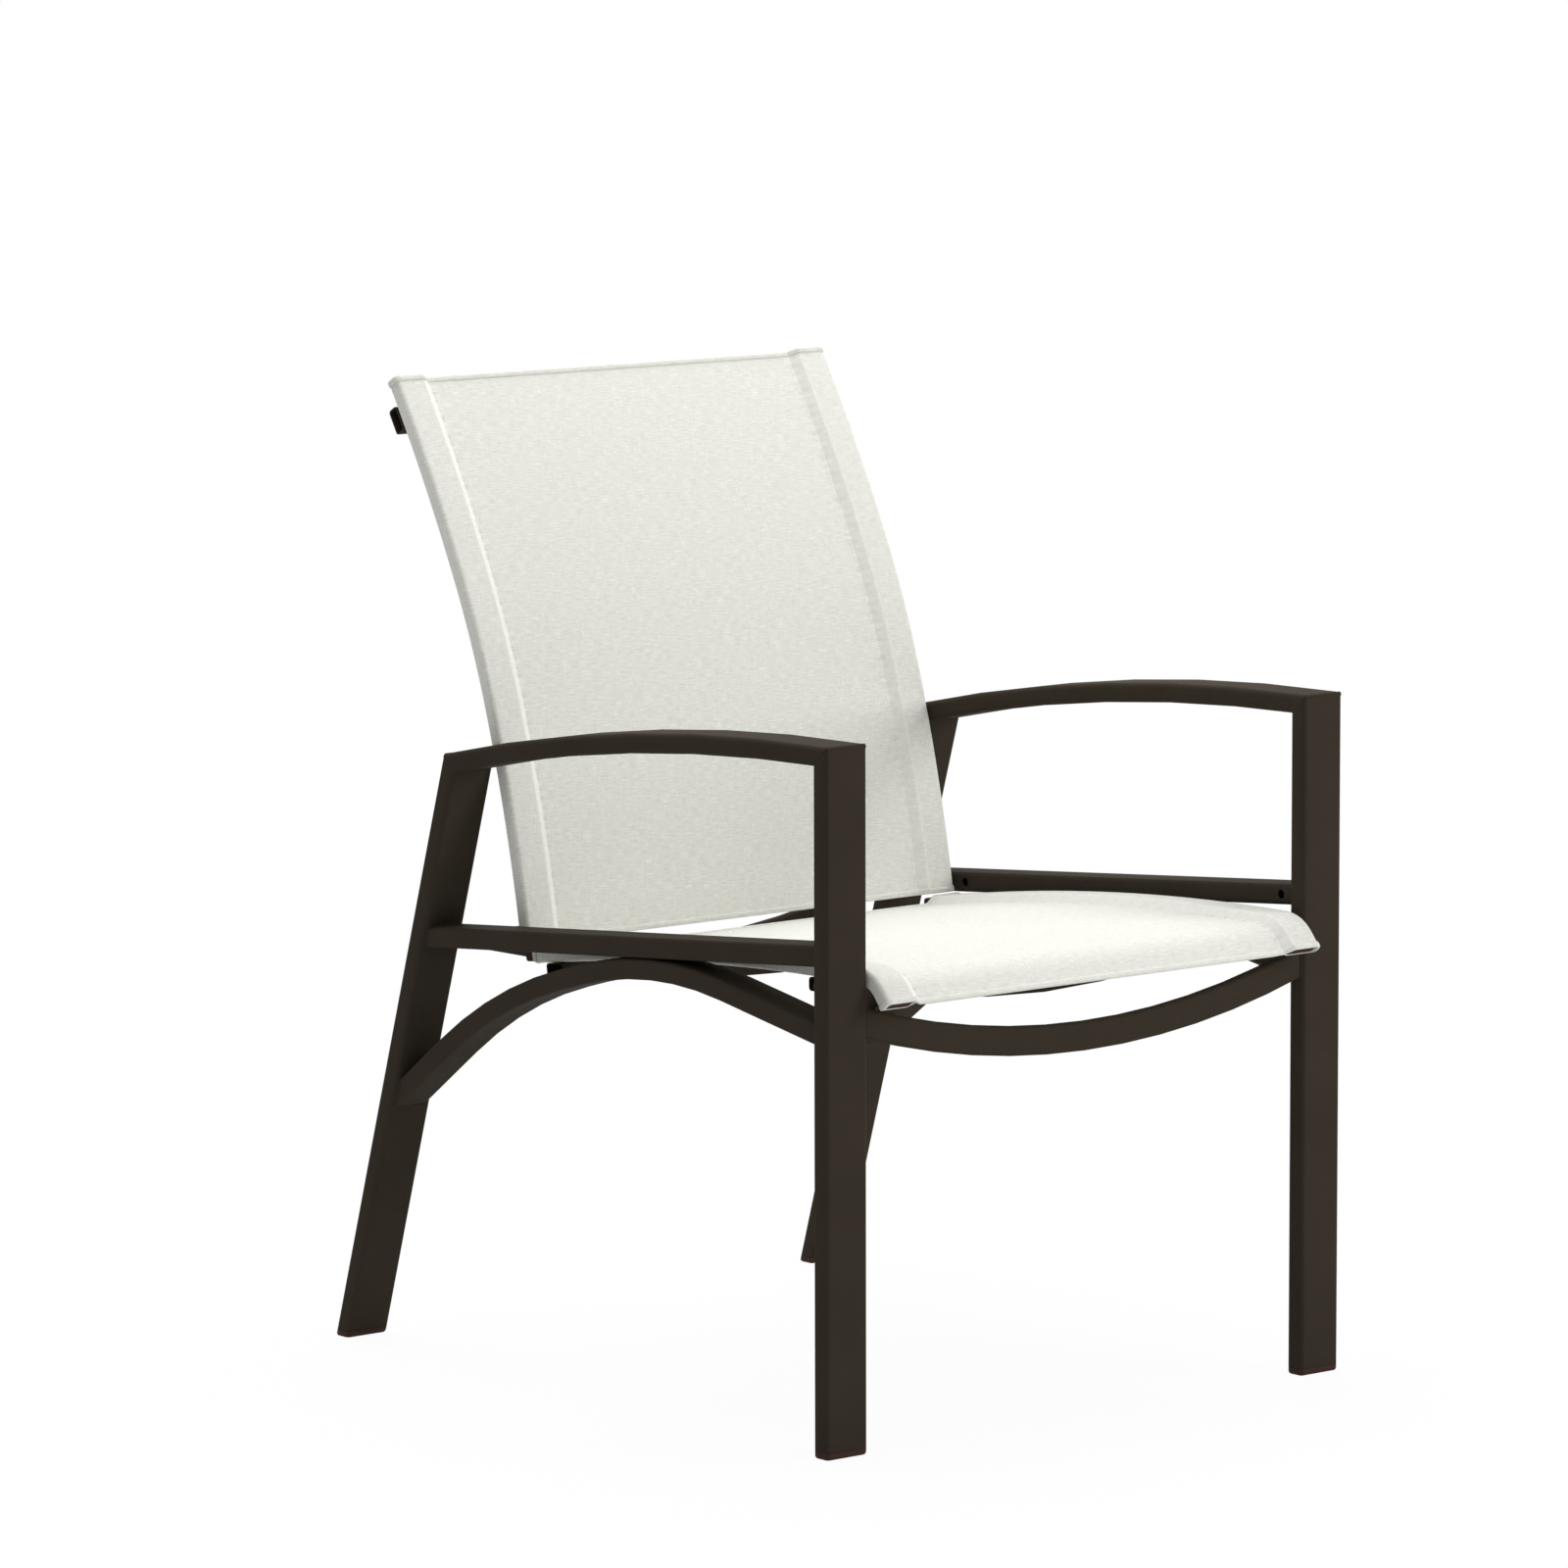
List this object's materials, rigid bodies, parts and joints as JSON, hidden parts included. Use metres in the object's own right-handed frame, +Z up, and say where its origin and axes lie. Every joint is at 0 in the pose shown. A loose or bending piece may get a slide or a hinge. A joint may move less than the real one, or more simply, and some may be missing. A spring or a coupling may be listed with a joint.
{
  "type": "sling patio chair",
  "caption": "Stacking patio armchair with a welded flat-tube frame, bowed braces and stretchers, and a seat and back of stretched sling fabric.",
  "frame": {"origin": "on the floor, under the middle of the chair's bounding box", "axes": "+Z up; the front of the chair faces -Y; +X towards the sitter's left hand"},
  "size_m": [0.6206, 0.7662, 0.92],
  "materials": {
    "frame": "satin powder coat, dark espresso",
    "plastic": "moulded, dark brown",
    "cloth": "off-white woven sling mesh",
    "zinc": "zinc plated"
  },
  "bodies": {
    "root": {"front_leg_left": "frame", "rear_leg_left": "frame", "arm_left": "frame", "side_rail_left": "frame", "arch_brace_left": "frame", "front_glide_left": "plastic", "rear_glide_left": "plastic", "front_leg_right": "frame", "rear_leg_right": "frame", "arm_right": "frame", "side_rail_right": "frame", "arch_brace_right": "frame", "front_glide_right": "plastic", "rear_glide_right": "plastic", "front_stretcher": "frame", "rear_stretcher": "frame", "seat_rail_left": "frame", "back_rail_left": "frame", "seat_front_plug_left": "plastic", "seat_rear_plug_left": "plastic", "back_top_plug_left": "plastic", "seat_rail_right": "frame", "back_rail_right": "frame", "seat_front_plug_right": "plastic", "seat_rear_plug_right": "plastic", "back_top_plug_right": "plastic", "seat_sling": "cloth", "back_sling": "cloth", "seat_bar_front": "frame", "seat_bar_rear": "frame", "back_bar_top": "frame", "seat_front_tab_left": "frame", "seat_front_tab_right": "frame", "seat_rear_tab_left": "frame", "seat_rear_tab_right": "frame", "back_lower_tab_left": "frame", "back_lower_tab_right": "frame", "back_upper_tab_left": "frame", "back_upper_tab_right": "frame", "seat_bar_front_screw_left": "zinc", "seat_bar_rear_screw_left": "zinc", "back_bar_top_screw_left": "zinc", "seat_front_tab_screw_left": "zinc", "seat_rear_tab_screw_left": "zinc", "back_lower_tab_screw_left": "zinc", "back_upper_tab_screw_left": "zinc", "seat_bar_front_screw_right": "zinc", "seat_bar_rear_screw_right": "zinc", "back_bar_top_screw_right": "zinc", "seat_front_tab_screw_right": "zinc", "seat_rear_tab_screw_right": "zinc", "back_lower_tab_screw_right": "zinc", "back_upper_tab_screw_right": "zinc"}
  },
  "joints": []
}
